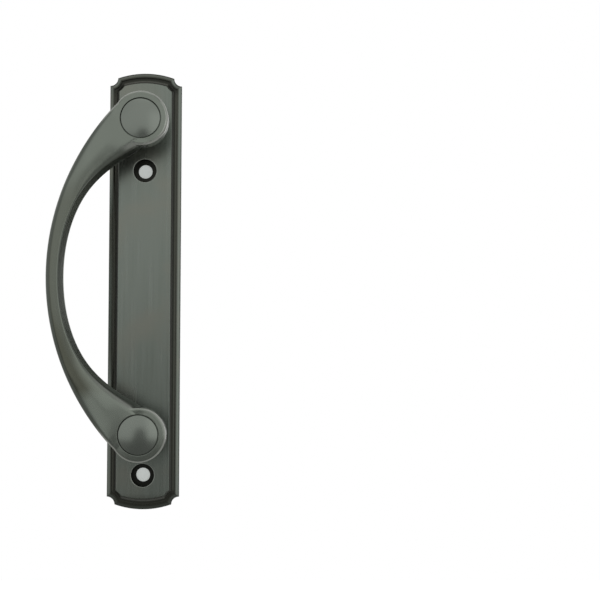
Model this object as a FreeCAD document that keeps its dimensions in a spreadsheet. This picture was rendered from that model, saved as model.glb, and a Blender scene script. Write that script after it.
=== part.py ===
"""Sliding patio door handle: a cast bow pull on a long cast back plate.

Frame, in millimetres: X runs across the plate, Z up it, and Y into the door.
The origin is midway between the two mounting holes, on the plate's back, and the part stands on the
-Y side of it.
"""
import FreeCAD
import Part
import Sketcher
import math
import os
import re

DIMENSIONS = {
    # back plate
    "plate_width": 44.5,
    "plate_thickness": 8.0,
    "end_arch_radius": 52.0,
    "corner_scoop_radius": 4.8,
    "lip_width": 2.8,
    "lip_thickness": 4.4,
    "lip_round": 0.8,
    "lip_slope": 16.0,
    "lip_crest": 0.3,
    "groove_depth": 1.0,
    "cove_width": 3.1,
    "cove_radius": 2.9,
    "cove_end_step": 0.8,
    "field_corner_radius": 0.8,
    "field_edge_radius": 0.4,
    "hollow_depth": 4.5,
    "hollow_wall": 2.6,
    "rib_thickness": 1.8,
    "rib_setback": 1.0,
    "rib_pitch": 24.0,
    # holes for the screws that fix the plate to the door, and how far they are from the plate's ends
    "hole_spacing": 188.0,
    "upper_hole_margin": 61.25,
    "lower_hole_margin": 21.25,
    "hole_radius": 4.3,
    "counterbore_radius": 7.0,
    "counterbore_depth": 5.6,
    "counterbore_edge_radius": 0.4,
    "hole_boss_wall": 2.6,
    # posts and round heads of the pull, and how far they are from the plate's ends
    "upper_post_margin": 34.75,
    "lower_post_margin": 47.75,
    "pull_height": 42.0,
    "head_radius": 16.4,
    "head_depth": 16.0,
    "head_rim_radius": 1.6,
    "head_back_radius": 3.0,
    "post_flare_radius": 32.0,
    "post_foot_radius": 12.0,
    "post_foot_height": 2.0,
    "post_foot_round": 0.8,
    # crescent bow between the heads
    "bow_reach": 55.6,
    "bow_depth": 14.4,
    "bow_back_radius": 4.2,
    "bow_draft": 13.5,
    "crown_place_ratio": 0.5,
    "root_inset": 0.5,
    "grip_width": 9.8,
    "grip_setback": 0.6,
    "grip_crown_radius": 22.0,
    "grip_edge_radius": 3.2,
    "grip_ridge_radius": 0.8,
    "quarter_width": 10.9,
    "quarter_setback": 0.6,
    "quarter_crown_radius": 23.0,
    "quarter_edge_radius": 3.2,
    "quarter_ridge_radius": 1.0,
    "arm_width": 14.2,
    "arm_setback": 0.5,
    "arm_crown_radius": 28.0,
    "arm_edge_radius": 3.2,
    "arm_ridge_radius": 1.3,
    "shoulder_width": 19.6,
    "shoulder_setback": 0.3,
    "shoulder_crown_radius": 44.0,
    "shoulder_edge_radius": 3.0,
    "shoulder_ridge_radius": 2.2,
    "neck_width": 26.4,
    "neck_setback": -0.1,
    "neck_crown_radius": 300.0,
    "neck_edge_radius": 2.2,
    "neck_ridge_radius": 4.6,
    "root_width": 30.6,
    "root_setback": 0.3,
    "root_crown_radius": 600.0,
    "root_edge_radius": 1.6,
    "root_ridge_radius": 9.0,
    # domed caps
    "cap_radius": 11.7,
    "cap_gap": 0.45,
    "cap_seat_depth": 2.4,
    "cap_crown": 1.1,
    "cap_edge_radius": 0.3,
    "spigot_radius": 4.0,
    "spigot_length": 6.0,
    "spigot_relief": 1.0,
    # fixing screws and lock washers
    "screw_radius": 2.5,
    "screw_length": 18.0,
    "screw_clearance": 0.25,
    "screw_head_radius": 4.6,
    "screw_head_height": 2.8,
    "screw_head_round": 1.5,
    "screw_tip_taper": 0.8,
    "drive_width": 1.1,
    "drive_reach": 2.4,
    "drive_depth": 1.5,
    "tap_runout": 3.0,
    "washer_radius": 4.4,
    "washer_thickness": 1.2,
    "washer_gap": 0.2,
    "washer_slit": 0.7,
}

doc = FreeCAD.newDocument("patio_door_handle")
sizes = doc.addObject("Spreadsheet::Sheet", "sizes")
for row, (alias, size) in enumerate(DIMENSIONS.items(), 1):
    sizes.set(f"A{row}", str(size))
    sizes.setAlias(f"A{row}", alias)
doc.recompute()


def named(text):
    """Writes an expression with each dimension's name turned into its cell in the sheet."""
    return re.sub(r"[a-z]\w*", lambda word: ("sizes." if word[0] in DIMENSIONS else "") + word[0], text)


def value(text):
    """The number that an expression of named dimensions gives."""
    result = sizes.evalExpression(named(text))
    return float(getattr(result, "Value", result))


# Places that several pieces share, as expressions of the dimensions.
PLATE_HEIGHT = "( hole_spacing + upper_hole_margin + lower_hole_margin )"
PLATE_RISE = "( ( upper_hole_margin - lower_hole_margin ) / 2 )"
POST_SPACING = f"( {PLATE_HEIGHT} - upper_post_margin - lower_post_margin )"
POST_RISE = f"( {PLATE_RISE} + ( lower_post_margin - upper_post_margin ) / 2 )"
FIELD_INSET = "( lip_width + cove_width )"
FIELD_END_INSET = f"( {FIELD_INSET} + cove_end_step )"
FIELD_FRONT = "( - plate_thickness )"
HEAD_FRONT = "( - plate_thickness - pull_height )"
HEAD_BACK = f"( {HEAD_FRONT} + head_depth )"
UPPER_POST = f"( {POST_RISE} + {POST_SPACING} / 2 )"
UPPER_HOLE = "( hole_spacing / 2 )"
CAP_SEAT = f"( {HEAD_FRONT} + cap_seat_depth )"
SCREW_SEAT = "( washer_thickness - hollow_depth )"
SCREW_END = f"( {SCREW_SEAT} + screw_head_height )"
SCREW_TIP = f"( {SCREW_SEAT} - screw_length )"
SCOOP_CENTRE = (
    f"( {PLATE_HEIGHT} / 2 - end_arch_radius"
    " + sqrt( end_arch_radius ^ 2 - ( plate_width / 2 - corner_scoop_radius ) ^ 2 ) )"
)
# The bow's outer edge is one arc, tangent to both heads and as far out as its reach.
BOW_RADIUS = (
    f"( ( bow_reach ^ 2 + ( {POST_SPACING} / 2 ) ^ 2 - head_radius ^ 2 )"
    " / ( 2 * ( bow_reach - head_radius ) ) )"
)
BOW_CENTRE = f"( {BOW_RADIUS} - bow_reach )"
ROOT_ANGLE = f"( atan2( {POST_SPACING} / 2 ; {BOW_CENTRE} ) )"
# Where the bow's slices are, as a share of the angle from the middle of the grip to a head.
SLICE_RATIOS = {"grip": 0.0, "quarter": 0.3, "arm": 0.5, "shoulder": 0.66, "neck": 0.83, "root": 1.0}
# The lip's front slopes outwards from its crest to a rounded edge.
LIP_EDGE_INSET = "( lip_round * ( 1 - sin( lip_slope ) ) )"
LIP_FALL = f"( ( lip_width - lip_crest - {LIP_EDGE_INSET} ) * tan( lip_slope ) )"
LIP_ROUND_START = f"( lip_thickness - {LIP_FALL} - lip_round * cos( lip_slope ) )"
# Where the outlines of that edge are taken, as a share of the turn from the side to the slope.
LIP_ROUND_SHARES = (0, 0.35, 0.7, 1)
RIB_COUNT = 4


def make_body(label):
    body = doc.addObject("PartDesign::Body", label)
    body.Label = label
    return body


def origin_feature(body, role):
    return next(feature for feature in body.Origin.OriginFeatures if feature.Role == role)


def make_sketch(body, name, plane, offset="0", rise="0"):
    """A sketch on one of the body's own planes, moved along that plane's normal and up its page."""
    sketch = body.newObject("Sketcher::SketchObject", name)
    sketch.AttachmentSupport = (origin_feature(body, plane), "")
    sketch.MapMode = "FlatFace"
    place = FreeCAD.Vector(0, value(rise), value(offset))
    sketch.AttachmentOffset = FreeCAD.Placement(place, FreeCAD.Rotation())
    sketch.setExpression("AttachmentOffset.Base.y", named(rise))
    sketch.setExpression("AttachmentOffset.Base.z", named(offset))
    return sketch


def bind(sketch, expression, *constraint):
    """Adds a dimension to a sketch and ties it to the sheet."""
    index = sketch.addConstraint(Sketcher.Constraint(*constraint, value(expression)))
    sketch.setExpression(f"Constraints[{index}]", named(expression))


def pin(sketch, geometry, point, across, along):
    """Fixes a point of a sketch at two expressions; a plain 0 keeps it on the axis."""
    if across == "0":
        sketch.addConstraint(Sketcher.Constraint("PointOnObject", geometry, point, -2))
    else:
        bind(sketch, across, "DistanceX", -1, 1, geometry, point)
    if along == "0":
        sketch.addConstraint(Sketcher.Constraint("PointOnObject", geometry, point, -1))
    else:
        bind(sketch, along, "DistanceY", -1, 1, geometry, point)


def add_circle(sketch, across, along, radius):
    centre = FreeCAD.Vector(value(across), value(along), 0)
    circle = sketch.addGeometry(Part.Circle(centre, FreeCAD.Vector(0, 0, 1), value(radius)))
    bind(sketch, radius, "Radius", circle)
    pin(sketch, circle, 3, across, along)


def arc_between(start, end, radius, turn):
    """The arc from start to end that turns left (1) or right (-1), shorter than half a circle."""
    middle = (start + end) * 0.5
    chord = end - start
    rise = math.sqrt(max(radius ** 2 - (chord.Length / 2) ** 2, 0.0))
    left = FreeCAD.Vector(-chord.y, chord.x, 0).normalize()
    centre = middle + left * (rise * turn)
    first, last = (start, end) if turn > 0 else (end, start)
    angles = [math.atan2(point.y - centre.y, point.x - centre.x) for point in (first, last)]
    return Part.ArcOfCircle(Part.Circle(centre, FreeCAD.Vector(0, 0, 1), radius), *angles)


def add_outline(sketch, corners):
    """A closed outline: each corner is (across, along), and (radius, turn) too where an arc leaves it."""
    places = [FreeCAD.Vector(value(corner[0]), value(corner[1]), 0) for corner in corners]
    ends = []
    for index, corner in enumerate(corners):
        start = places[index]
        end = places[(index + 1) % len(places)]
        if len(corner) == 2:
            edge = sketch.addGeometry(Part.LineSegment(start, end))
            ends.append((edge, 1, 2))
        else:
            radius, turn = corner[2:]
            edge = sketch.addGeometry(arc_between(start, end, value(radius), turn))
            ends.append((edge, 1, 2) if turn > 0 else (edge, 2, 1))
    for index, (edge, first, last) in enumerate(ends):
        following, following_first, _ = ends[(index + 1) % len(ends)]
        sketch.addConstraint(Sketcher.Constraint("Coincident", edge, last, following, following_first))
    for corner, (edge, first, last) in zip(corners, ends):
        pin(sketch, edge, first, corner[0], corner[1])
        if len(corner) > 2:
            bind(sketch, corner[2], "Radius", edge)


def add_plate_outline(sketch, inset, end_inset):
    """The plate's outline moved inwards: straight sides, arched ends and scooped corners.

    Every arc keeps the centre that it has on the plate's own edge, and the ends have their own inset.
    """
    side = value(f"plate_width / 2 - {inset}")
    arch_radius = value(f"end_arch_radius - {end_inset}")
    arch_centre = value(f"{PLATE_HEIGHT} / 2 - end_arch_radius")
    scoop_radius = value(f"corner_scoop_radius + {inset}")
    scoop_x = value("plate_width / 2")
    scoop_z = value(SCOOP_CENTRE)
    to_scoop = FreeCAD.Vector(scoop_x, scoop_z - arch_centre, 0)
    reach = (arch_radius ** 2 - scoop_radius ** 2 + to_scoop.Length ** 2) / (2 * to_scoop.Length)
    offset = math.sqrt(arch_radius ** 2 - reach ** 2)
    along = FreeCAD.Vector(to_scoop).normalize()
    arch_end = along * reach + FreeCAD.Vector(-along.y, along.x, 0) * offset
    arch_end.y += arch_centre
    side_end = scoop_z - math.sqrt(scoop_radius ** 2 - (scoop_x - side) ** 2)

    corners = []
    for flip_x, flip_z in ((1, 1), (-1, 1), (-1, -1), (1, -1)):
        on_side = FreeCAD.Vector(flip_x * side, flip_z * side_end, 0)
        on_arch = FreeCAD.Vector(flip_x * arch_end.x, flip_z * arch_end.y, 0)
        corners.append((on_side, on_arch) if flip_x == flip_z else (on_arch, on_side))
    right_side = Part.LineSegment(corners[3][1], corners[0][0])
    left_side = Part.LineSegment(corners[1][1], corners[2][0])
    top_arch = arc_between(corners[0][1], corners[1][0], arch_radius, 1)
    bottom_arch = arc_between(corners[2][1], corners[3][0], arch_radius, 1)
    scoops = [arc_between(start, end, scoop_radius, -1) for start, end in corners]
    order = [right_side, scoops[0], top_arch, scoops[1], left_side, scoops[2], bottom_arch, scoops[3]]
    edges = list(sketch.addGeometry(order))

    # A scoop turns the other way, so its first point in the outline is its second in the sketch.
    points = [(edge, 2, 1) if index % 2 else (edge, 1, 2) for index, edge in enumerate(edges)]
    for (edge, _, last), (following, first, _) in zip(points, points[1:] + points[:1]):
        sketch.addConstraint(Sketcher.Constraint("Coincident", edge, last, following, first))
    for edge, sign in ((edges[0], ""), (edges[4], "-")):
        sketch.addConstraint(Sketcher.Constraint("Vertical", edge))
        bind(sketch, f"{sign} ( plate_width / 2 - {inset} )", "DistanceX", -1, 1, edge, 1)
    for edge, sign in ((edges[2], ""), (edges[6], "-")):
        bind(sketch, f"end_arch_radius - {end_inset}", "Radius", edge)
        pin(sketch, edge, 3, "0", f"{sign} ( {PLATE_HEIGHT} / 2 - end_arch_radius )")
    for edge, sign_x, sign_z in zip(edges[1::2], ("", "-", "-", ""), ("", "", "-", "-")):
        bind(sketch, f"corner_scoop_radius + {inset}", "Radius", edge)
        pin(sketch, edge, 3, f"{sign_x} ( plate_width / 2 )", f"{sign_z} {SCOOP_CENTRE}")


def make_feature(body, kind, name, sketch, length=None):
    feature = body.newObject(f"PartDesign::{kind}", name)
    feature.Profile = sketch
    if length:
        feature.setExpression("Length", named(length))
    if kind in ("Revolution", "Groove"):
        feature.ReferenceAxis = (sketch, ["V_Axis"])
        feature.Angle = 360
    return feature


def make_loft(body, name, sketches):
    """A solid through a row of sketches."""
    loft = body.newObject("PartDesign::AdditiveLoft", name)
    loft.Profile = sketches[0]
    loft.Sections = sketches[1:]
    doc.recompute()


def cut(body, name, sketch, length, reverse=False):
    """A pocket that must take something away."""
    doc.recompute()
    before = body.Shape.Volume
    pocket = make_feature(body, "Pocket", name, sketch, length)
    pocket.Reversed = reverse
    doc.recompute()
    if body.Shape.Volume > before - 0.01:
        raise RuntimeError(f"{name} cut nothing")
    return pocket


def repeat_down(body, name, features, spacing, count=2):
    """Repeats features down the body's Z axis."""
    pattern = body.newObject("PartDesign::LinearPattern", name)
    pattern.Originals = features
    pattern.Direction = (origin_feature(body, "Z_Axis"), [""])
    pattern.Reversed = True
    pattern.Occurrences = count
    pattern.setExpression("Length", named(f"{spacing} * {count - 1}"))
    body.Tip = pattern
    doc.recompute()
    return pattern


def round_edges(body, name, radius, wanted):
    """A fillet on the edges of the body so far that the test picks."""
    doc.recompute()
    base = body.Tip
    names = [f"Edge{number}" for number, edge in enumerate(base.Shape.Edges, 1) if wanted(edge)]
    fillet = body.newObject("PartDesign::Fillet", name)
    fillet.Base = (base, names)
    fillet.setExpression("Radius", named(radius))
    doc.recompute()
    return fillet


def in_plane(edge, y):
    """Whether an edge lies in the plane at a depth."""
    return edge.BoundBox.YLength < 1e-6 and abs(edge.BoundBox.YMin - y) < 1e-6


def make_backplate():
    """A cast plate: a sloping lip, a cove inside it up to a raised field, and a ribbed hollow back."""
    body = make_body("backplate")
    base_sketch = make_sketch(body, "base_outline", "XZ_Plane", rise=PLATE_RISE)
    add_plate_outline(base_sketch, "0", "0")
    make_feature(body, "Pad", "base", base_sketch, LIP_ROUND_START)
    rounds = []
    for number, share in enumerate(LIP_ROUND_SHARES):
        turn = f"( {share} * ( 90 - lip_slope ) )"
        inset = f"( lip_round * ( 1 - cos( {turn} ) ) )"
        offset = f"{LIP_ROUND_START} + lip_round * sin( {turn} )"
        round_sketch = make_sketch(body, f"lip_round_outline_{number}", "XZ_Plane", offset, PLATE_RISE)
        add_plate_outline(round_sketch, inset, inset)
        rounds.append(round_sketch)
    make_loft(body, "lip_edge", rounds)
    slope_sketch = make_sketch(
        body, "lip_slope_outline", "XZ_Plane", f"lip_thickness - {LIP_FALL}", PLATE_RISE)
    add_plate_outline(slope_sketch, LIP_EDGE_INSET, LIP_EDGE_INSET)
    crest_sketch = make_sketch(body, "lip_crest_outline", "XZ_Plane", "lip_thickness", PLATE_RISE)
    add_plate_outline(crest_sketch, "( lip_width - lip_crest )", "( lip_width - lip_crest )")
    make_loft(body, "lip", [slope_sketch, crest_sketch])
    groove_sketch = make_sketch(body, "groove_outline", "XZ_Plane", "lip_thickness", PLATE_RISE)
    add_plate_outline(groove_sketch, "lip_width", "lip_width")
    cut(body, "groove", groove_sketch, "groove_depth")

    field_sketch = make_sketch(body, "field_outline", "XZ_Plane", rise=PLATE_RISE)
    add_plate_outline(field_sketch, FIELD_INSET, FIELD_END_INSET)
    make_feature(body, "Pad", "field", field_sketch, "plate_thickness")
    field_front = value(FIELD_FRONT)
    round_edges(
        body, "field_corners", "field_corner_radius",
        lambda edge: edge.BoundBox.YLength > 1 and edge.BoundBox.YMin < field_front + 1e-6)
    round_edges(body, "field_edge", "field_edge_radius", lambda edge: in_plane(edge, field_front))
    groove_floor = value("groove_depth - lip_thickness")
    side = value(f"plate_width / 2 - {FIELD_INSET}") + 0.01
    top = value(f"{PLATE_RISE} + {PLATE_HEIGHT} / 2 - {FIELD_END_INSET}") + 0.01
    bottom = value(f"{PLATE_RISE} - {PLATE_HEIGHT} / 2 + {FIELD_END_INSET}") - 0.01

    def at_field_foot(edge):
        box = edge.BoundBox
        inside = box.XMax < side and box.XMin > -side and box.ZMax < top and box.ZMin > bottom
        return inside and in_plane(edge, groove_floor)

    round_edges(body, "cove", "cove_radius", at_field_foot)

    hollow_sketch = make_sketch(body, "hollow_outline", "XZ_Plane", rise=PLATE_RISE)
    add_plate_outline(
        hollow_sketch, f"( {FIELD_INSET} + hollow_wall )", f"( {FIELD_END_INSET} + hollow_wall )")
    for hole in (UPPER_HOLE, f"( {UPPER_HOLE} - hole_spacing )"):
        add_circle(hollow_sketch, "0", f"{hole} - {PLATE_RISE}", "counterbore_radius + hole_boss_wall")
    cut(body, "hollow", hollow_sketch, "hollow_depth", reverse=True)

    rib_sketch = make_sketch(body, "rib_outline", "XZ_Plane", "rib_setback")
    half_length = f"( plate_width / 2 - {FIELD_INSET} - hollow_wall / 2 )"
    first_rib = f"rib_pitch * {(RIB_COUNT - 1) / 2}"
    top = f"( {first_rib} + rib_thickness / 2 )"
    bottom = f"( {first_rib} - rib_thickness / 2 )"
    add_outline(rib_sketch, [
        (f"- {half_length}", bottom), (half_length, bottom), (half_length, top), (f"- {half_length}", top)])
    rib = make_feature(body, "Pad", "rib", rib_sketch, "hollow_depth")
    repeat_down(body, "ribs", [rib], "rib_pitch", RIB_COUNT)

    seat_sketch = make_sketch(body, "counterbore_circle", "XZ_Plane", "plate_thickness")
    add_circle(seat_sketch, "0", UPPER_HOLE, "counterbore_radius")
    seat = cut(body, "counterbore", seat_sketch, "counterbore_depth")
    hole_sketch = make_sketch(body, "hole_circle", "XZ_Plane", "plate_thickness")
    add_circle(hole_sketch, "0", UPPER_HOLE, "hole_radius")
    hole = cut(body, "hole", hole_sketch, "plate_thickness")
    repeat_down(body, "mounting_holes", [seat, hole], "hole_spacing")
    mouth = value("2 * counterbore_radius")
    round_edges(
        body, "counterbore_edges", "counterbore_edge_radius",
        lambda edge: in_plane(edge, field_front) and abs(edge.BoundBox.XLength - mouth) < 0.01)

    screw_sketch = make_sketch(body, "screw_hole_circle", "XZ_Plane", "plate_thickness")
    add_circle(screw_sketch, "0", UPPER_POST, "screw_radius + screw_clearance")
    screw_hole = cut(body, "screw_hole", screw_sketch, "plate_thickness")
    repeat_down(body, "screw_holes", [screw_hole], POST_SPACING)
    return body


def add_bow_slice(body, side, name):
    """One slice of the bow, square to its outer arc, on the lower (-1) or upper (1) side of the grip.

    The slice starts at the bow's outer front corner. Its outer side is straight, its front is a shallow
    crown, its inner side leans from a ridge at the front out towards the back, and both back corners
    are round. Towards the head the ridge softens, the front comes level with the head's and the outer
    side draws in.
    """
    fraction = side * SLICE_RATIOS[name]
    width = f"{name}_width"
    crown_radius = f"{name}_crown_radius"
    edge_radius = f"{name}_edge_radius"
    ridge_radius = f"{name}_ridge_radius"
    inset = f"( root_inset * {fraction ** 6} )"
    angle = f"( {ROOT_ANGLE} * {fraction} )"
    radius = f"( {BOW_RADIUS} - {inset} )"
    base_x = f"( {BOW_CENTRE} - {radius} * cos( {angle} ) )"
    base_y = f"( {HEAD_FRONT} + {name}_setback )"
    base_z = f"( {POST_RISE} + {radius} * sin( {angle} ) )"
    place = "lower" if side < 0 else "upper"
    sketch = body.newObject("Sketcher::SketchObject", f"{place}_{name}_slice")
    sketch.AttachmentSupport = (origin_feature(body, "XY_Plane"), "")
    sketch.MapMode = "FlatFace"
    sketch.AttachmentOffset = FreeCAD.Placement(
        FreeCAD.Vector(value(base_x), value(base_y), value(base_z)),
        FreeCAD.Rotation(FreeCAD.Vector(0, 1, 0), value(angle)))
    for axis, expression in (("x", base_x), ("y", base_y), ("z", base_z)):
        sketch.setExpression(f"AttachmentOffset.Base.{axis}", named(expression))
    sketch.setExpression("AttachmentOffset.Rotation.Angle", named(angle))

    # Centres of the five arcs, from the radii and the lean of the inner side.
    edge, ridge, crown, back = (
        value(text) for text in (edge_radius, ridge_radius, crown_radius, "bow_back_radius"))
    lean = math.radians(value("bow_draft"))
    inner_normal = FreeCAD.Vector(math.cos(lean), -math.sin(lean), 0)
    inner_run = FreeCAD.Vector(math.sin(lean), math.cos(lean), 0)
    crown_centre = FreeCAD.Vector(value(f"{width} * crown_place_ratio"), crown, 0)
    edge_drop = math.sqrt((crown - edge) ** 2 - (crown_centre.x - edge) ** 2)
    edge_centre = FreeCAD.Vector(edge, crown - edge_drop, 0)
    outer_back_centre = FreeCAD.Vector(back, value("bow_depth") - back, 0)
    inner_back_centre = FreeCAD.Vector(value(width) - back, value("bow_depth") - back, 0)
    on_line = inner_back_centre + inner_normal * (back - ridge)
    to_crown = crown_centre - on_line
    along = to_crown.dot(inner_run)
    aside = to_crown.dot(inner_normal)
    ridge_centre = on_line + inner_run * (along - math.sqrt((crown - ridge) ** 2 - aside ** 2))

    def arc(centre, arc_radius, first, last):
        angles = [math.atan2(direction.y, direction.x) for direction in (first, last)]
        return Part.ArcOfCircle(Part.Circle(centre, FreeCAD.Vector(0, 0, 1), arc_radius), *angles)

    left = FreeCAD.Vector(-1, 0, 0)
    backwards = FreeCAD.Vector(0, 1, 0)
    to_edge = edge_centre - crown_centre
    to_ridge = ridge_centre - crown_centre
    edges = sketch.addGeometry([
        arc(crown_centre, crown, to_edge, to_ridge),
        arc(ridge_centre, ridge, to_ridge, inner_normal),
        Part.LineSegment(ridge_centre + inner_normal * ridge, inner_back_centre + inner_normal * back),
        arc(inner_back_centre, back, inner_normal, backwards),
        Part.LineSegment(inner_back_centre + backwards * back, outer_back_centre + backwards * back),
        arc(outer_back_centre, back, backwards, left),
        Part.LineSegment(outer_back_centre + left * back, edge_centre + left * edge),
        arc(edge_centre, edge, left, to_edge),
    ])
    crown_arc, ridge_arc, inner_line, inner_back, back_line, outer_back, outer_line, edge_arc = edges
    for this, following in zip(edges, edges[1:] + edges[:1]):
        sketch.addConstraint(Sketcher.Constraint("Tangent", this, 2, following, 1))
    bind(sketch, crown_radius, "Radius", crown_arc)
    bind(sketch, ridge_radius, "Radius", ridge_arc)
    bind(sketch, edge_radius, "Radius", edge_arc)
    bind(sketch, "bow_back_radius", "Radius", inner_back)
    bind(sketch, "bow_back_radius", "Radius", outer_back)
    sketch.addConstraint(Sketcher.Constraint("PointOnObject", outer_line, 1, -2))
    sketch.addConstraint(Sketcher.Constraint("Vertical", outer_line))
    sketch.addConstraint(Sketcher.Constraint("Horizontal", back_line))
    bind(sketch, "bow_depth", "DistanceY", -1, 1, back_line, 1)
    bind(sketch, f"{width} - bow_back_radius", "DistanceX", -1, 1, inner_back, 3)
    tilt = sketch.addConstraint(Sketcher.Constraint("Angle", inner_line, math.pi / 2 - lean))
    sketch.setExpression(f"Constraints[{tilt}]", named("( 90 - bow_draft ) * 1deg"))
    pin(sketch, crown_arc, 3, f"{width} * crown_place_ratio", crown_radius)
    return sketch


def make_pull_bow():
    """A cast crescent bow with a round head at each end, standing off the plate on flared posts."""
    body = make_body("pull_bow")
    slices = [add_bow_slice(body, -1, name) for name in reversed(SLICE_RATIOS)]
    slices += [add_bow_slice(body, 1, name) for name in list(SLICE_RATIOS)[1:]]
    make_loft(body, "bow", slices)

    post_sketch = make_sketch(body, "post_profile", "XY_Plane", UPPER_POST)
    foot_front = f"( {FIELD_FRONT} - post_foot_height )"
    add_outline(post_sketch, [
        ("0", FIELD_FRONT),
        ("post_foot_radius", FIELD_FRONT),
        ("post_foot_radius", f"{foot_front} + post_foot_round", "post_foot_round", -1),
        ("post_foot_radius - post_foot_round", foot_front, "post_flare_radius", 1),
        ("head_radius - head_back_radius", HEAD_BACK, "head_back_radius", -1),
        ("head_radius", f"{HEAD_BACK} - head_back_radius"),
        ("head_radius", f"{HEAD_FRONT} + head_rim_radius", "head_rim_radius", -1),
        ("head_radius - head_rim_radius", HEAD_FRONT),
        ("0", HEAD_FRONT),
    ])
    post = make_feature(body, "Revolution", "post", post_sketch)
    seat_sketch = make_sketch(body, "cap_seat_circle", "XZ_Plane", f"cap_crown - {HEAD_FRONT}")
    add_circle(seat_sketch, "0", UPPER_POST, "cap_radius + cap_gap")
    seat = cut(body, "cap_seat", seat_sketch, "cap_crown + cap_seat_depth")
    spigot_sketch = make_sketch(body, "spigot_hole_circle", "XZ_Plane", f"- {HEAD_FRONT}")
    add_circle(spigot_sketch, "0", UPPER_POST, "spigot_radius")
    spigot_hole = cut(body, "spigot_hole", spigot_sketch, "cap_seat_depth + spigot_length + spigot_relief")
    tapped_sketch = make_sketch(body, "tapped_hole_circle", "XZ_Plane", "plate_thickness")
    add_circle(tapped_sketch, "0", UPPER_POST, "screw_radius")
    tapped_depth = f"{FIELD_FRONT} - {SCREW_TIP} + tap_runout"
    tapped_hole = cut(body, "tapped_hole", tapped_sketch, tapped_depth, reverse=True)
    repeat_down(body, "posts", [post, seat, spigot_hole, tapped_hole], POST_SPACING)
    return body


def make_cap(label, height):
    """A turned button with a shallow dome, pressed into its head by a spigot."""
    body = make_body(label)
    sketch = make_sketch(body, label + "_profile", "XY_Plane", height)
    dome_radius = "( ( cap_radius - cap_edge_radius ) ^ 2 + cap_crown ^ 2 ) / ( 2 * cap_crown )"
    add_outline(sketch, [
        ("0", f"{CAP_SEAT} + spigot_length"),
        ("spigot_radius", f"{CAP_SEAT} + spigot_length"),
        ("spigot_radius", CAP_SEAT),
        ("cap_radius", CAP_SEAT),
        ("cap_radius", f"{HEAD_FRONT} + cap_edge_radius", "cap_edge_radius", -1),
        ("cap_radius - cap_edge_radius", HEAD_FRONT, dome_radius, -1),
        ("0", f"{HEAD_FRONT} - cap_crown"),
    ])
    make_feature(body, "Revolution", label + "_turning", sketch)
    return body


def make_fixing_screws():
    """Two pan head machine screws with a cross recess, from behind the plate into the posts."""
    body = make_body("fixing_screws")
    sketch = make_sketch(body, "screw_profile", "XY_Plane", UPPER_POST)
    add_outline(sketch, [
        ("0", SCREW_TIP),
        ("screw_radius - screw_tip_taper", SCREW_TIP),
        ("screw_radius", f"{SCREW_TIP} + screw_tip_taper"),
        ("screw_radius", SCREW_SEAT),
        ("screw_head_radius", SCREW_SEAT),
        ("screw_head_radius", f"{SCREW_END} - screw_head_round", "screw_head_round", 1),
        ("screw_head_radius - screw_head_round", SCREW_END),
        ("0", SCREW_END),
    ])
    screw = make_feature(body, "Revolution", "screw", sketch)
    drive_sketch = make_sketch(body, "drive_cross", "XZ_Plane", f"- {SCREW_END}")
    half = "drive_width / 2"
    quarter = [("drive_reach", half), (half, half), (half, "drive_reach")]
    cross = []
    for across, along in (("", ""), ("-", ""), ("-", "-"), ("", "-")):
        turned = [(f"{across} ( {x} )", f"{UPPER_POST} + {along} ( {z} )") for x, z in quarter]
        cross += turned if across == along else turned[::-1]
    add_outline(drive_sketch, cross)
    drive = cut(body, "drive", drive_sketch, "drive_depth", reverse=True)
    repeat_down(body, "screws", [screw, drive], POST_SPACING)
    return body


def make_lock_washers():
    """A split spring washer, pressed flat, under each screw's head."""
    body = make_body("lock_washers")
    ring_sketch = make_sketch(body, "washer_rings", "XZ_Plane", f"- {SCREW_SEAT}")
    add_circle(ring_sketch, "0", UPPER_POST, "washer_radius")
    add_circle(ring_sketch, "0", UPPER_POST, "screw_radius + washer_gap")
    ring = make_feature(body, "Pad", "washer", ring_sketch, "washer_thickness")
    slit_sketch = make_sketch(body, "washer_slit_outline", "XZ_Plane", f"- {SCREW_SEAT}")
    add_outline(slit_sketch, [
        ("0", f"{UPPER_POST} - washer_slit / 2"),
        ("washer_radius + washer_slit", f"{UPPER_POST} - washer_slit / 2"),
        ("washer_radius + washer_slit", f"{UPPER_POST} + washer_slit / 2"),
        ("0", f"{UPPER_POST} + washer_slit / 2"),
    ])
    slit = cut(body, "washer_split", slit_sketch, "washer_thickness", reverse=True)
    repeat_down(body, "washers", [ring, slit], POST_SPACING)
    return body


bodies = [
    make_backplate(),
    make_pull_bow(),
    make_cap("upper_cap", UPPER_POST),
    make_cap("lower_cap", f"( {UPPER_POST} - {POST_SPACING} )"),
    make_fixing_screws(),
    make_lock_washers(),
]
doc.recompute()
for item in doc.Objects:
    if "Invalid" in item.State or "Error" in item.State:
        raise RuntimeError(f"{item.Label} failed: {item.State}")
for body in bodies:
    if body.Shape.isNull() or not body.Shape.isValid():
        raise RuntimeError(f"{body.Label} has no valid shape")
os.makedirs("parts", exist_ok=True)
for body in bodies:
    body.Shape.exportStep(f"parts/{body.Label}.step")
    print(body.Label, len(body.Shape.Solids), "solid(s)", round(body.Shape.Volume, 1), "mm3")
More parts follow.
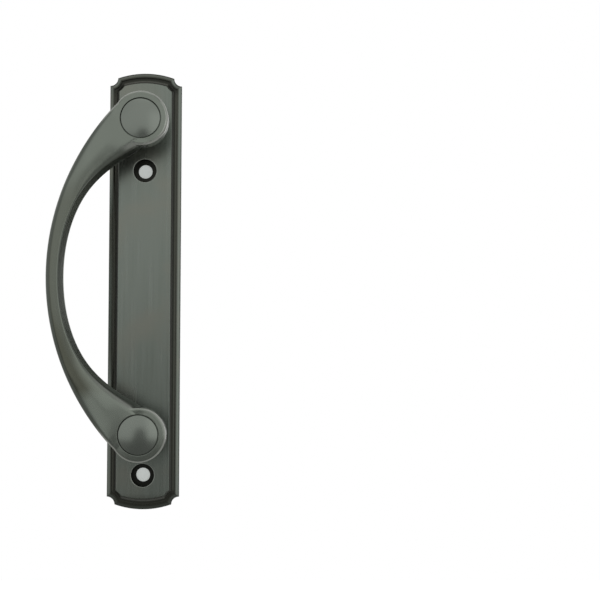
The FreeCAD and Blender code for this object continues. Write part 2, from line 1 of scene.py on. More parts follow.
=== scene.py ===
"""Looks of a sliding patio door handle: a cast bow pull on a long cast back plate, in dark bronze.

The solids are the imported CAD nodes, in metres: X across the plate, Z up it and Y into the door.
A pair of numbers named in capitals is the two ends of a ramp or of a range.
"""
import bpy
import math
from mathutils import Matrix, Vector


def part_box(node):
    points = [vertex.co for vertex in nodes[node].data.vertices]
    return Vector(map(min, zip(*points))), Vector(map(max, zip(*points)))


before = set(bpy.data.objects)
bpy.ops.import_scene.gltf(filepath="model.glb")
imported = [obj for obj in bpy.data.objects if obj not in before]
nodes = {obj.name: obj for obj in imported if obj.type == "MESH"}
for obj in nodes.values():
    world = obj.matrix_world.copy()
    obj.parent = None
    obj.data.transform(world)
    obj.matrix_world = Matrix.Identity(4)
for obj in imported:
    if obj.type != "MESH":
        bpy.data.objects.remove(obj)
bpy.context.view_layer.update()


# Back plate: one zinc casting, a raised field inside a cove and a thin lip. It is plated dark bronze and
# brushed lengthwise. Its colour is painted darker in the cove, and near black in the groove, along the
# groove's top end and in the two screw recesses. Painted highlights pale the field's edge and the recesses'
# edges, painted light pales the field's wall, and painted shade darkens the lip's upward faces and the bottom
# end. The field's wall is dull, and the hollow back is left as cast.
PLATE_BRONZE = (0.150, 0.171, 0.148, 1.0)
BRUSHED_BRONZE = (0.175, 0.196, 0.173, 1.0)
BROWN_BRONZE = (0.182, 0.186, 0.156, 1.0)
# Painted highlights and painted light, for the plate's edges and wall and the pull's rims, necks and sides.
HIGHLIGHT_PAINT_BRONZE = (0.520, 0.540, 0.495, 1.0)
# Painted shade, at the plate's bottom end and on the pull.
SHADE_PAINT_BRONZE = (0.066, 0.069, 0.057, 1.0)
COVE_DARK_BRONZE = (0.056, 0.058, 0.048, 1.0)
# Painted light for the field's wall.
WALL_LIGHT_PAINT = (0.250, 0.258, 0.230, 1.0)
# Painted shade for the faces of the lip and wall that turn upwards.
UPWARD_SHADE_PAINT = (0.036, 0.034, 0.025, 1.0)
GROOVE_BLACK = (0.046, 0.048, 0.039, 1.0)
CAST_BRONZE = (0.115, 0.125, 0.108, 1.0)
RECESS_BLACK = (0.018, 0.019, 0.016, 1.0)
BRONZE_METALLIC = 0.95


def add_node(tree, kind, feeds, **settings):
    """Adds a shader node; each feed is a number, a colour or an earlier node's output for one input."""
    node = tree.nodes.new("ShaderNode" + kind)
    for setting, choice in settings.items():
        setattr(node, setting, choice)
    for socket, feed in feeds.items():
        if isinstance(feed, bpy.types.NodeSocket):
            tree.links.new(feed, node.inputs[socket])
        else:
            node.inputs[socket].default_value = feed
    return node


def work_out(tree, operation, first, second=0.0):
    """One sum on two numbers or outputs."""
    return add_node(tree, "Math", {0: first, 1: second}, operation=operation).outputs[0]


def plus(tree, first, second):
    """Two numbers or outputs added."""
    return work_out(tree, "ADD", first, second)


def minus(tree, first, second):
    """The second number or output taken from the first."""
    return work_out(tree, "SUBTRACT", first, second)


def times(tree, first, *others):
    """Numbers or outputs multiplied together."""
    total = first
    for other in others:
        total = work_out(tree, "MULTIPLY", total, other)
    return total


def ease(tree, number, start, end):
    """A smooth step: 0 where the number is at start, 1 where it is at end."""
    feeds = {"Value": number, "From Min": start, "From Max": end}
    return add_node(tree, "MapRange", feeds, interpolation_type="SMOOTHSTEP").outputs[0]


def between(tree, share, low, high):
    """A share from 0 to 1 turned into a number from low to high."""
    return add_node(tree, "MapRange", {"Value": share, "To Min": low, "To Max": high}).outputs[0]


def lay_over(tree, share, under, over):
    """One colour laid over another by a share."""
    mix = add_node(tree, "Mix", {0: share, 6: under, 7: over}, data_type="RGBA")
    return mix.outputs[2]


def speckle(tree, place, size, detail=2.0, stretch=(1.0, 1.0, 1.0)):
    """Soft noise with marks of about this size in metres, drawn out where stretch is above 1."""
    scale = tuple(1.0 / (size * times_as_long) for times_as_long in stretch)
    spread = add_node(tree, "Mapping", {"Vector": place, "Scale": scale}).outputs[0]
    noise = add_node(tree, "TexNoise", {"Vector": spread, "Scale": 1.0, "Detail": detail})
    return noise.outputs[0]


def start_finish(name, metallic):
    """A material with one Principled shader, and its place on the piece in metres."""
    material = bpy.data.materials.new(name)
    material.use_nodes = True
    tree = material.node_tree
    shader = tree.nodes["Principled BSDF"]
    shader.inputs["Metallic"].default_value = metallic
    place = tree.nodes.new("ShaderNodeTexCoord").outputs["Object"]
    return material, tree, shader, place


def split(tree, vector):
    """The three numbers of a place or a normal: across, into the door and up."""
    return add_node(tree, "SeparateXYZ", {0: vector}).outputs


def find_normal(tree):
    """The normal of the mesh."""
    return add_node(tree, "NewGeometry", {}).outputs["Normal"]


def raise_grain(tree, shader, height):
    """Bump on the shader from a height in metres."""
    bump = add_node(tree, "Bump", {"Height": height, "Distance": 1.0, "Strength": 1.0})
    tree.links.new(bump.outputs[0], shader.inputs["Normal"])
    return bump


def wear(node, material):
    """Gives a CAD node its finish."""
    node.data.materials.clear()
    node.data.materials.append(material)


def reach(tree, across, along):
    """How far a point is from the origin of two lengths."""
    squares = [work_out(tree, "POWER", length, 2.0) for length in (across, along)]
    return work_out(tree, "SQRT", plus(tree, *squares))


# Where a point of the plate is: how far in from its outline and its lip, behind its field and off a hole.
PLATE_RISE = 0.0200
PLATE_HALF_WIDTH = 0.02225
ARCH_RADIUS = 0.0520
ARCH_CENTRE = 0.08325
SCOOP_RADIUS = 0.0048
SCOOP_CENTRE = 0.132235
LIP_WIDTH = 0.0028
FIELD_FRONT = -0.0080
MOUNTING_HOLE_HEIGHT = 0.094
RECESS_RADIUS = 0.0070

plate_finish, tree, shader, place = start_finish("brushed_dark_bronze", BRONZE_METALLIC)
across, depth, height = split(tree, place)
up_or_down = work_out(tree, "ABSOLUTE", minus(tree, height, PLATE_RISE))
from_side = minus(tree, PLATE_HALF_WIDTH, work_out(tree, "ABSOLUTE", across))
past_centre = work_out(tree, "MAXIMUM", minus(tree, up_or_down, ARCH_CENTRE), 0.0)
from_end = minus(tree, ARCH_RADIUS, reach(tree, across, past_centre))
scoop_distance = reach(tree, from_side, minus(tree, up_or_down, SCOOP_CENTRE))
from_scoop = minus(tree, scoop_distance, SCOOP_RADIUS)
inset = work_out(tree, "MINIMUM", from_side, work_out(tree, "MINIMUM", from_end, from_scoop))
past_lip = minus(tree, inset, LIP_WIDTH)
behind_field = minus(tree, depth, FIELD_FRONT)
from_hole = minus(tree, work_out(tree, "ABSOLUTE", height), MOUNTING_HOLE_HEIGHT)
past_recess = minus(tree, reach(tree, across, from_hole), RECESS_RADIUS)
_, facing, upward = split(tree, find_normal(tree))

# Which part of the plate a point is on.
FIELD_STEP = (0.0002, 0.0007)
FIELD_EDGE_LIGHT_DEPTH = (0.0016, 0.0007)
FIELD_EDGE_LIGHT_SHARE = 0.45
RECESS_MOUTH = (0.0006, 0.0002)
RECESS_HIGHLIGHT_REACH = (0.0007, 0.0004)
RECESS_HIGHLIGHT_SHARE = 0.30
TURNED_BACK = (-0.15, 0.15)
OFF_OUTLINE = (0.0004, 0.0010)
WALL_START = (0.0018, 0.0028)
WALL_END = (0.0046, 0.0038)
COVE_DEPTH = (0.0018, 0.0036)
COVE_START = (-0.0014, 0.0002)
COVE_END = (0.0042, 0.0036)
GROOVE_END = (0.0013, 0.0003)
TOP_GROOVE_END = (0.0028, 0.0010)
TOP_GROOVE_HEIGHT = (0.1400, 0.1460)
TOP_GROOVE_SHARE = 0.75
LIP_END = (0.0, -0.0010)
TURNED_UP = (0.10, 0.45)
WALL_UPWARD_SHADE_SHARE = 0.5
FOOT_HEIGHT = (-0.1040, -0.1100)
FOOT_SHADE_SHARE = 0.65

off_field = ease(tree, behind_field, *FIELD_STEP)
# Painted light: the top of the field's wall, just below its edge, painted pale.
painted_field_edge_light = times(tree, off_field, ease(tree, behind_field, *FIELD_EDGE_LIGHT_DEPTH), FIELD_EDGE_LIGHT_SHARE)
in_recess = times(tree, off_field, ease(tree, past_recess, *RECESS_MOUTH))
# Painted highlight round the mouth of each screw recess.
painted_recess_highlight = times(tree, ease(tree, past_recess, *RECESS_HIGHLIGHT_REACH), RECESS_HIGHLIGHT_SHARE)
as_cast = times(tree, ease(tree, facing, *TURNED_BACK), ease(tree, inset, *OFF_OUTLINE))
# Painted light: the field's wall is painted paler than the plate, where it falls into shade.
on_wall = times(tree, off_field, ease(tree, past_lip, *WALL_START), ease(tree, past_lip, *WALL_END))
# The cove is painted darker, and the groove at the lip's foot and the groove's top end are painted near
# black.
in_cove = times(
    tree, ease(tree, behind_field, *COVE_DEPTH), ease(tree, past_lip, *COVE_START),
    ease(tree, past_lip, *COVE_END))
in_groove = times(tree, in_cove, ease(tree, past_lip, *GROOVE_END))
top_groove = times(
    tree, in_cove, ease(tree, past_lip, *TOP_GROOVE_END), ease(tree, height, *TOP_GROOVE_HEIGHT),
    TOP_GROOVE_SHARE)
on_lip = ease(tree, past_lip, *LIP_END)
# Painted shade on the faces of the lip, and more faintly the wall, that turn upwards.
lip_or_wall = work_out(tree, "MAXIMUM", on_lip, times(tree, on_wall, WALL_UPWARD_SHADE_SHARE))
painted_upward_shade = times(tree, lip_or_wall, ease(tree, upward, *TURNED_UP))
# Painted shade: the plate darker towards its bottom end.
painted_foot_shade = times(tree, ease(tree, height, *FOOT_HEIGHT), FOOT_SHADE_SHARE)

# The plate's tone, shine and grain.
BRUSH_WIDTH = 0.0013
BRUSH_STRETCH = (1.0, 1.0, 45.0)
BRUSH_CONTRAST = (0.2, 0.8)
PLATE_CLOUD = 0.030
BROWN_CLOUD = (0.45, 0.70)
BROWN_SHARE = 0.7
PLATE_ROUGHNESS = (0.24, 0.29)
CAST_ROUGHNESS = 0.20
WALL_ROUGHNESS = 0.30
PLATE_GRAIN = 0.0005
PLATE_GRAIN_HEIGHT = 0.000003
PIT_SIZE = 0.0011
PIT_HEIGHT = 0.00012

brushing = speckle(tree, place, BRUSH_WIDTH, stretch=BRUSH_STRETCH)
cloud = speckle(tree, place, PLATE_CLOUD)
grain = speckle(tree, place, PLATE_GRAIN, detail=3.0)
tone = lay_over(tree, ease(tree, brushing, *BRUSH_CONTRAST), PLATE_BRONZE, BRUSHED_BRONZE)
tone = lay_over(tree, times(tree, ease(tree, cloud, *BROWN_CLOUD), BROWN_SHARE), tone, BROWN_BRONZE)
# Laid over the tone: the cove darker, the grooves and recesses near black, painted shade at the bottom end
# and on upward faces, and painted light and highlights on the field's wall, its edge and the recesses' edges.
for share, colour in (
        (painted_foot_shade, SHADE_PAINT_BRONZE), (in_cove, COVE_DARK_BRONZE), (in_groove, GROOVE_BLACK), (top_groove, RECESS_BLACK),
        (on_wall, WALL_LIGHT_PAINT), (painted_upward_shade, UPWARD_SHADE_PAINT), (as_cast, CAST_BRONZE), (painted_field_edge_light, HIGHLIGHT_PAINT_BRONZE),
        (painted_recess_highlight, HIGHLIGHT_PAINT_BRONZE), (in_recess, RECESS_BLACK)):
    tone = lay_over(tree, share, tone, colour)
tree.links.new(tone, shader.inputs["Base Color"])
shine = plus(tree, between(tree, brushing, *PLATE_ROUGHNESS), times(tree, as_cast, CAST_ROUGHNESS))
shine = plus(tree, shine, times(tree, on_wall, WALL_ROUGHNESS))
tree.links.new(shine, shader.inputs["Roughness"])
brushed = times(tree, plus(tree, grain, brushing), PLATE_GRAIN_HEIGHT)
pitted = times(tree, speckle(tree, place, PIT_SIZE, detail=3.0), times(tree, as_cast, PIT_HEIGHT))
raise_grain(tree, shader, plus(tree, brushed, pitted))
wear(nodes["backplate"], plate_finish)


# Pull: one zinc casting, a crescent bow with a round head at each end, screwed to the plate through its two
# posts. It has the plate's bronze, polished smooth by hand. Painted highlights brighten the heads' rims and
# the necks' inner edges, painted light pales the bow's sides, and painted shade darkens the grip's lower
# half, the undersides of the necks and the posts' feet.
BOW_BRONZE = (0.155, 0.174, 0.148, 1.0)
BOW_BRONZE_PALE = (0.180, 0.200, 0.173, 1.0)
# Painted shade for the grip's lower half.
LOWER_GRIP_SHADE_PAINT = (0.088, 0.093, 0.072, 1.0)
BOW_CLOUD = 0.022
BOW_ROUGHNESS = (0.20, 0.25)

bow_finish, tree, shader, place = start_finish("smooth_dark_bronze", BRONZE_METALLIC)
cloud = speckle(tree, place, BOW_CLOUD)
tone = lay_over(tree, cloud, BOW_BRONZE, BOW_BRONZE_PALE)
tree.links.new(between(tree, cloud, *BOW_ROUGHNESS), shader.inputs["Roughness"])

# Where a point of the pull is: how far out from a head's middle, and on which side of the arm that leaves it.
GRIP_MIDDLE = 0.0265
POST_DISTANCE = 0.0940
UPPER_HALF = (GRIP_MIDDLE, 0.050)
OFF_ARM = (-0.0150, -0.0080)
HEAD_SIDE = (0.0200, 0.0160)

across, depth, height = split(tree, place)
from_middle = work_out(tree, "ABSOLUTE", minus(tree, height, GRIP_MIDDLE))
outward = minus(tree, from_middle, POST_DISTANCE)
head_radius = reach(tree, across, outward)
from_arm = plus(tree, across, outward)
inward = minus(tree, across, outward)
sideways, facing, upward = split(tree, find_normal(tree))
off_arm = ease(tree, from_arm, *OFF_ARM)
upper_half = ease(tree, height, *UPPER_HALF)
by_head = ease(tree, head_radius, *HEAD_SIDE)
by_upper_head = times(tree, upper_half, by_head)
off_upper_head = minus(tree, 1.0, by_upper_head)

# Painted shade: the grip darker and browner on its lower half, more where the front turns down.
CLOUD_MIDDLE = 0.5
PATINA_DRIFT = 0.03
LOWER_GRIP = (0.010, -0.020)
GRIP_BROWN = (0.52, 0.85)
GRIP_TOP = (0.105, 0.068)
GRIP_FOOT = (-0.048, -0.034)
SIDE_LEAN = 0.35
LEAN_EFFECT = 6.0
MOST_LEAN_EFFECT = 2.0
ON_FRONT = (-0.90, -0.985)

uneven = plus(tree, height, times(tree, minus(tree, cloud, CLOUD_MIDDLE), PATINA_DRIFT))
lean = plus(tree, upward, times(tree, sideways, SIDE_LEAN))
turned_down = minus(tree, 1.0, times(tree, lean, LEAN_EFFECT))
turned_down = add_node(tree, "Clamp", {"Value": turned_down, "Min": 0.0, "Max": MOST_LEAN_EFFECT}).outputs[0]
painted_grip_shade = times(
    tree, between(tree, ease(tree, uneven, *LOWER_GRIP), *GRIP_BROWN), ease(tree, uneven, *GRIP_TOP),
    ease(tree, uneven, *GRIP_FOOT), turned_down, ease(tree, facing, *ON_FRONT))

# Painted light on the bow's sides, paler towards the top, and painted shade under the necks and at the posts'
# feet.
FLANK_START = (-0.85, -0.55)
FLANK_END = (0.6, 0.2)
FLANK_OFF_HEAD = (0.035, 0.050)
FLANK_HEIGHT = (0.030, 0.075)
FLANK_LIGHT_SHARE = (0.10, 0.40)
NECK_BACK = (-0.046, -0.042)
UNDER_ARM = (-0.0080, -0.0140)
NECK_SHADE_REACH = (0.0400, 0.0240)
POST_FOOT = (-0.014, -0.010)

# Painted light on the bow's sides, paler towards the top.
painted_side_light = times(
    tree, ease(tree, facing, *FLANK_START), ease(tree, facing, *FLANK_END),
    ease(tree, head_radius, *FLANK_OFF_HEAD),
    between(tree, ease(tree, height, *FLANK_HEIGHT), *FLANK_LIGHT_SHARE))
# Painted shade under the necks.
painted_neck_shade = times(
    tree, ease(tree, depth, *NECK_BACK), ease(tree, from_arm, *UNDER_ARM), off_upper_head,
    ease(tree, head_radius, *NECK_SHADE_REACH))
# Painted shade at the posts' feet.
painted_post_foot_shade = ease(tree, depth, *POST_FOOT)

# Painted highlights on the rims of the heads and on the edge of the arm beside them.
HEAD_RADIUS = 0.0164
HEAD_EDGE = (HEAD_RADIUS + 0.0010, HEAD_RADIUS + 0.0004)
UNDER_HEAD = (-0.0230, -0.0170)
ARM_EDGE_START = (-0.012, -0.004)
ARM_EDGE_REACH = (0.0270, 0.0180)
RIM_RADIUS = 0.0148
RIM_START = (RIM_RADIUS, RIM_RADIUS + 0.0004)
RIM_DEPTH = (-0.0450, -0.0465)
RIM_TURN = (-0.97, -0.80)

under_head = times(tree, ease(tree, from_arm, *UNDER_HEAD), upper_half)
on_rim = times(
    tree, work_out(tree, "MAXIMUM", off_arm, under_head), ease(tree, head_radius, *HEAD_EDGE))
on_arm_edge = times(
    tree, ease(tree, outward, *ARM_EDGE_START), ease(tree, head_radius, *ARM_EDGE_REACH))
painted_rim_highlight = times(
    tree, work_out(tree, "MAXIMUM", on_rim, on_arm_edge), ease(tree, head_radius, *RIM_START),
    ease(tree, depth, *RIM_DEPTH), ease(tree, facing, *RIM_TURN))

# The inner edge of each neck, wide and soft: a bevelled normal, with a painted highlight on the edge, painted
# shade on the side behind it and painted light on that side by the upper head. Pairs named for both necks
# give the lower one first.
BEVEL_START = (0.040, 0.075)
BEVEL_RADIUS = (0.0006, 0.0040)
CAP_SURROUND = (0.0185, 0.0130)
INNER_SIDE = (0.0, 0.0040)
INNER_REACH = (0.055, 0.035)
BOTH_EDGE_STARTS = (-0.980, -0.997)
BOTH_EDGE_CRESTS = (-0.88, -0.95)
BOTH_EDGE_HIGHLIGHTS = (0.42, 0.62)
BOTH_EDGE_REACHES = (0.055, 0.0235)
BOTH_EDGE_ROOTS = (0.0145, 0.0126)
EDGE_END = (-0.60, -0.76)
EDGE_FADE = 0.0055
ROOT_FADE = 0.0015
SIDE_TURN = (-0.78, -0.58)
NECK_SIDE_SHADE = 0.6
HEAD_SIDE_LIGHT_SHARE = 0.35

on_head = work_out(
    tree, "MAXIMUM", times(tree, off_arm, by_head), ease(tree, head_radius, *CAP_SURROUND))
by_neck = times(tree, ease(tree, from_middle, *BEVEL_START), minus(tree, 1.0, on_head))
bevel = add_node(tree, "Bevel", {"Radius": between(tree, by_neck, *BEVEL_RADIUS)}, samples=8)
eased_normal = bevel.outputs[0]
eased_facing = split(tree, eased_normal)[1]
inner_neck = times(tree, ease(tree, inward, *INNER_SIDE), ease(tree, head_radius, *INNER_REACH))
edge_start = between(tree, upper_half, *BOTH_EDGE_STARTS)
edge_crest = between(tree, upper_half, *BOTH_EDGE_CRESTS)
edge_reach = between(tree, upper_half, *BOTH_EDGE_REACHES)
edge_root = between(tree, upper_half, *BOTH_EDGE_ROOTS)
# Painted highlight along the inner edge of each neck.
painted_neck_edge_highlight = times(
    tree, ease(tree, eased_facing, edge_start, edge_crest), ease(tree, eased_facing, *EDGE_END),
    between(tree, upper_half, *BOTH_EDGE_HIGHLIGHTS), inner_neck,
    ease(tree, head_radius, edge_reach, minus(tree, edge_reach, EDGE_FADE)),
    ease(tree, head_radius, edge_root, plus(tree, edge_root, ROOT_FADE)))
inner_side = times(tree, ease(tree, eased_facing, *SIDE_TURN), inner_neck)
# Painted shade on the necks' inner sides, and painted light on that side by the upper head.
painted_neck_side_shade = times(tree, inner_side, off_upper_head, NECK_SIDE_SHADE)
painted_head_side_light = times(tree, inner_side, by_upper_head, HEAD_SIDE_LIGHT_SHARE)

# Laid over the tone: painted shade on the lower grip, under the necks, at the posts' feet and behind the
# necks' inner edges, and painted light and highlights on the bow's sides, beside the upper head, on the
# necks' inner edges and on the rims.
for share, colour in (
        (painted_grip_shade, LOWER_GRIP_SHADE_PAINT), (painted_side_light, HIGHLIGHT_PAINT_BRONZE), (painted_neck_shade, SHADE_PAINT_BRONZE), (painted_post_foot_shade, SHADE_PAINT_BRONZE),
        (painted_head_side_light, HIGHLIGHT_PAINT_BRONZE), (painted_neck_side_shade, SHADE_PAINT_BRONZE), (painted_neck_edge_highlight, HIGHLIGHT_PAINT_BRONZE),
        (painted_rim_highlight, HIGHLIGHT_PAINT_BRONZE)):
    tone = lay_over(tree, share, tone, colour)
tree.links.new(tone, shader.inputs["Base Color"])

# The ring round each cap, which falls away a little, the crown of the necks and the fine grain.
SEAT_RADIUS = 0.0121
RING_SLOPE = 0.08
BOW_GRAIN = 0.0006
BOW_GRAIN_HEIGHT = 0.000006
NECK_CROWN = 0.062
CROWN_SIDE = (-0.0080, -0.0020)
CROWN_END = (-0.050, -0.036)
CROWN_OFF_HEAD = (0.0170, 0.0270)

ring_feeds = {"Value": head_radius, "Min": SEAT_RADIUS, "Max": RIM_RADIUS}
ring_radius = add_node(tree, "Clamp", ring_feeds).outputs[0]
ring_fall = times(tree, minus(tree, SEAT_RADIUS, ring_radius), RING_SLOPE, off_arm)
grain = speckle(tree, place, BOW_GRAIN, detail=3.0)
bump = raise_grain(tree, shader, plus(tree, ring_fall, times(tree, grain, BOW_GRAIN_HEIGHT)))
lean_across = times(
    tree, ease(tree, inward, *CROWN_SIDE), ease(tree, outward, *CROWN_END),
    ease(tree, head_radius, *CROWN_OFF_HEAD), NECK_CROWN)
lean_along = times(tree, lean_across, work_out(tree, "SIGN", minus(tree, GRIP_MIDDLE, height)))
crown = add_node(tree, "CombineXYZ", {0: lean_across, 2: lean_along}).outputs[0]
leaning = add_node(tree, "VectorMath", {0: eased_normal, 1: crown}, operation="ADD").outputs[0]
leaning = add_node(tree, "VectorMath", {0: leaning}, operation="NORMALIZE").outputs[0]
tree.links.new(leaning, bump.inputs["Normal"])
wear(nodes["pull_bow"], bow_finish)


# Caps: two buttons turned from dark bronze, whose spigots are pressed into the heads. The lathe leaves fine
# rings round their middles. Close to the middle, the shading follows the true dome and not the facets of its
# mesh.
CAP_BRONZE = (0.165, 0.183, 0.160, 1.0)
CAP_BRONZE_PALE = (0.185, 0.204, 0.180, 1.0)
CAP_CLOUD = 0.012
CAP_ROUGHNESS = (0.18, 0.23)
RING_PITCH = 0.00045
RING_HEIGHT = 0.0000008
RING_START = (0.0, 0.003)
DOME_FRONT = -0.0511
DOME_RADIUS = 0.0596
DOME_MIDDLE = (0.006, 0.004)

for name, cap_height in (
        ("upper_cap", GRIP_MIDDLE + POST_DISTANCE), ("lower_cap", GRIP_MIDDLE - POST_DISTANCE)):
    cap_finish, tree, shader, place = start_finish(f"turned_bronze_{name}", BRONZE_METALLIC)
    across, _, height = split(tree, place)
    radius = reach(tree, across, minus(tree, height, cap_height))
    ring_wave = work_out(tree, "SINE", times(tree, radius, 2.0 * math.pi / RING_PITCH))
    rings = times(tree, ring_wave, ease(tree, radius, *RING_START))
    cloud = speckle(tree, place, CAP_CLOUD)
    tree.links.new(lay_over(tree, cloud, CAP_BRONZE, CAP_BRONZE_PALE), shader.inputs["Base Color"])
    tree.links.new(between(tree, cloud, *CAP_ROUGHNESS), shader.inputs["Roughness"])
    bump = raise_grain(tree, shader, times(tree, rings, RING_HEIGHT))
    dome_centre = (0.0, DOME_FRONT + DOME_RADIUS, cap_height)
    from_centre = add_node(tree, "VectorMath", {0: place, 1: dome_centre}, operation="SUBTRACT").outputs[0]
    dome_normal = add_node(tree, "VectorMath", {0: from_centre}, operation="NORMALIZE").outputs[0]
    shape_feeds = {0: ease(tree, radius, *DOME_MIDDLE), 4: find_normal(tree), 5: dome_normal}
    shape = add_node(tree, "Mix", shape_feeds, data_type="VECTOR")
    tree.links.new(shape.outputs[1], bump.inputs["Normal"])
    wear(nodes[name], cap_finish)


# Fixing screws and washers: zinc plated steel screws come from behind through the plate into the posts,
# each on a dark split spring washer.
ZINC = (0.52, 0.53, 0.55, 1.0)
ZINC_DULL = (0.38, 0.39, 0.40, 1.0)
SPRING_STEEL = (0.16, 0.16, 0.165, 1.0)
SPRING_STEEL_DULL = (0.10, 0.10, 0.105, 1.0)
STEEL_CLOUD = 0.0018
STEEL_ROUGHNESS = (0.28, 0.50)
STEEL_GRAIN = 0.0004
STEEL_GRAIN_HEIGHT = 0.000006

for name, bright, dull in (
        ("fixing_screws", ZINC, ZINC_DULL), ("lock_washers", SPRING_STEEL, SPRING_STEEL_DULL)):
    steel_finish, tree, shader, place = start_finish(f"steel_{name}", metallic=1.0)
    cloud = speckle(tree, place, STEEL_CLOUD, detail=3.0)
    tree.links.new(lay_over(tree, cloud, bright, dull), shader.inputs["Base Color"])
    tree.links.new(between(tree, cloud, *STEEL_ROUGHNESS), shader.inputs["Roughness"])
    raise_grain(tree, shader, times(tree, speckle(tree, place, STEEL_GRAIN), STEEL_GRAIN_HEIGHT))
    wear(nodes[name], steel_finish)


# Camera: nearly square to the plate, from a metre away, a little to its right and below its middle.
CAMERA_PLACE = (0.07070, -1.00119, -0.02444)
CAMERA_DEGREES = (92.2375, -0.2621, -1.4913)
CAMERA_LENS = 96.41

camera = bpy.data.objects.new("camera", bpy.data.cameras.new("camera"))
camera.location = CAMERA_PLACE
camera.rotation_euler = [math.radians(angle) for angle in CAMERA_DEGREES]
camera.data.lens = CAMERA_LENS
bpy.context.scene.collection.objects.link(camera)
bpy.context.scene.camera = camera


# Lamps: a large soft one above the camera, and a smaller weak one to its right that lights the caps' right
# sides.
LAMP_AIM = (0.0, -0.02, 0.02)


def hang_lamp(name, place, size, power):
    """A square soft lamp at a place, turned to face the handle."""
    data = bpy.data.lights.new(name, "AREA")
    data.shape = "SQUARE"
    data.size = size
    data.energy = power
    lamp = bpy.data.objects.new(name, data)
    lamp.location = place
    towards = [end - start for start, end in zip(place, LAMP_AIM)]
    flat = math.hypot(towards[0], towards[1])
    lamp.rotation_euler = (math.atan2(flat, -towards[2]), 0.0, math.atan2(-towards[0], towards[1]))
    bpy.context.scene.collection.objects.link(lamp)


hang_lamp("top_lamp", place=(-0.20, -0.90, 1.30), size=1.2, power=2.0)
hang_lamp("right_lamp", place=(0.42, -1.05, 0.12), size=0.6, power=0.3)


# White room: the world round the handle. It is plain white to the camera, dimmer at its sides to the metal
# that mirrors it, and dimmer still as light.
WHITE = (1.0, 1.0, 1.0, 1.0)
ROOM_FRONT = (0.62, 0.93)
MIRRORED_ROOM = (0.45, 1.0)
ROOM_LIGHT = 0.40

world = bpy.data.worlds.new("white_room")
bpy.context.scene.world = world
world.use_nodes = True
tree = world.node_tree
rays = add_node(tree, "LightPath", {})
seen = work_out(tree, "MAXIMUM", rays.outputs["Is Camera Ray"], rays.outputs["Is Transmission Ray"])
direction = split(tree, add_node(tree, "TexCoord", {}).outputs["Generated"])
along_view = work_out(tree, "ABSOLUTE", direction[1])
mirrored = between(tree, ease(tree, along_view, *ROOM_FRONT), *MIRRORED_ROOM)
lit = between(tree, rays.outputs["Is Glossy Ray"], ROOM_LIGHT, mirrored)
background = tree.nodes["Background"]
background.inputs["Color"].default_value = WHITE
tree.links.new(work_out(tree, "MAXIMUM", seen, lit), background.inputs["Strength"])


# Floor: a pale floor well below the handle, which is held by its mount.
FLOOR_COLOUR = (0.80, 0.80, 0.79, 1.0)
FLOOR_HEIGHT = -0.70
FLOOR_REACH = 4.0
FLOOR_GLOW = 0.75


def lay_board(name, corners):
    """A flat board from its four corners."""
    mesh = bpy.data.meshes.new(name)
    mesh.from_pydata(corners, [], [(0, 1, 2, 3)])
    board = bpy.data.objects.new(name, mesh)
    bpy.context.scene.collection.objects.link(board)
    return board


def mix_paint(name, colour, roughness, glow):
    """A dull paint that can also glow in a colour."""
    material = bpy.data.materials.new(name)
    material.use_nodes = True
    tree = material.node_tree
    shader = tree.nodes["Principled BSDF"]
    shader.inputs["Base Color"].default_value = colour
    shader.inputs["Roughness"].default_value = roughness
    shader.inputs["Emission Color"].default_value = glow
    return material, tree, shader


def glow_to_camera(tree, shader, strength):
    """Makes a paint glow for the camera alone."""
    rays = add_node(tree, "LightPath", {})
    seen = between(tree, rays.outputs["Is Camera Ray"], 0.0, strength)
    tree.links.new(seen, shader.inputs["Emission Strength"])


floor = lay_board("floor", [
    (-FLOOR_REACH, -FLOOR_REACH, FLOOR_HEIGHT), (FLOOR_REACH, -FLOOR_REACH, FLOOR_HEIGHT),
    (FLOOR_REACH, FLOOR_REACH, FLOOR_HEIGHT), (-FLOOR_REACH, FLOOR_REACH, FLOOR_HEIGHT)])
floor_paint, tree, shader = mix_paint("pale_floor", FLOOR_COLOUR, roughness=0.9, glow=WHITE)
glow_to_camera(tree, shader, FLOOR_GLOW)
floor.data.materials.append(floor_paint)


# Flags: a grey board that stands behind the camera, a little higher than it, and another that runs from its
# foot towards the door. They show only in the metal, and give it a darker lower half.
BLACK = (0.0, 0.0, 0.0, 1.0)
FLAG_GLOW = 0.28
FLAG_LEFT = -0.40
FLAG_RIGHT = 0.32
FLAG_TOP_LEFT = -0.09
FLAG_TOP_RIGHT = 0.06
FLAG_TOP = 0.03
FLAG_BOTTOM = -0.69
FLAG_FAR = -1.05
FLAG_NEAR = -0.25

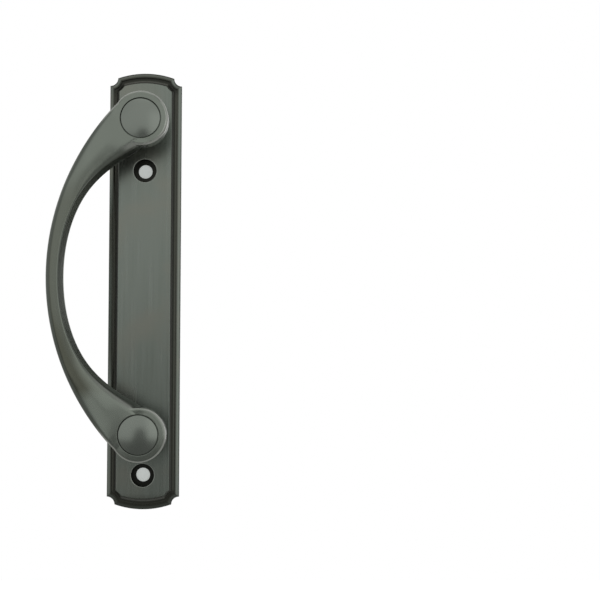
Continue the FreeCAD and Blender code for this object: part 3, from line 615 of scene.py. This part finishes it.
flag_paint, tree, shader = mix_paint("grey_flag", BLACK, roughness=1.0, glow=WHITE)
shader.inputs["Emission Strength"].default_value = FLAG_GLOW
for name, corners in (
        ("flag", [
            (FLAG_LEFT, FLAG_FAR, FLAG_BOTTOM), (FLAG_RIGHT, FLAG_FAR, FLAG_BOTTOM),
            (FLAG_TOP_RIGHT, FLAG_FAR, FLAG_TOP), (FLAG_TOP_LEFT, FLAG_FAR, FLAG_TOP)]),
        ("flag_foot", [
            (FLAG_LEFT, FLAG_NEAR, FLAG_BOTTOM), (FLAG_RIGHT, FLAG_NEAR, FLAG_BOTTOM),
            (FLAG_RIGHT, FLAG_FAR, FLAG_BOTTOM), (FLAG_LEFT, FLAG_FAR, FLAG_BOTTOM)])):
    flag = lay_board(name, corners)
    flag.data.materials.append(flag_paint)
    flag.visible_camera = False
    flag.visible_diffuse = False
    flag.visible_shadow = False


# Card: a pale board close behind the plate that shows in its two holes, and is clear from behind.
CARD_COLOUR = (0.85, 0.88, 0.86, 1.0)
CARD_LIGHT = (0.85, 0.90, 0.87, 1.0)
CARD_MARGIN = 0.010
CARD_DEPTH = 0.0010
CARD_GLOW = 0.42

plate_low, plate_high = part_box("backplate")
card = lay_board("card", [
    (plate_low.x + CARD_MARGIN, CARD_DEPTH, plate_low.z + CARD_MARGIN),
    (plate_high.x - CARD_MARGIN, CARD_DEPTH, plate_low.z + CARD_MARGIN),
    (plate_high.x - CARD_MARGIN, CARD_DEPTH, plate_high.z - CARD_MARGIN),
    (plate_low.x + CARD_MARGIN, CARD_DEPTH, plate_high.z - CARD_MARGIN)])
card_paint, tree, shader = mix_paint("pale_card", CARD_COLOUR, roughness=0.9, glow=CARD_LIGHT)
glow_to_camera(tree, shader, CARD_GLOW)
side = add_node(tree, "NewGeometry", {})
clear = add_node(tree, "BsdfTransparent", {})
front_only = add_node(
    tree, "MixShader", {0: side.outputs["Backfacing"], 1: shader.outputs[0], 2: clear.outputs[0]})
tree.links.new(front_only.outputs[0], tree.nodes["Material Output"].inputs["Surface"])
card.data.materials.append(card_paint)
card.visible_shadow = False
card.visible_diffuse = False

bpy.context.scene.view_settings.view_transform = "Standard"
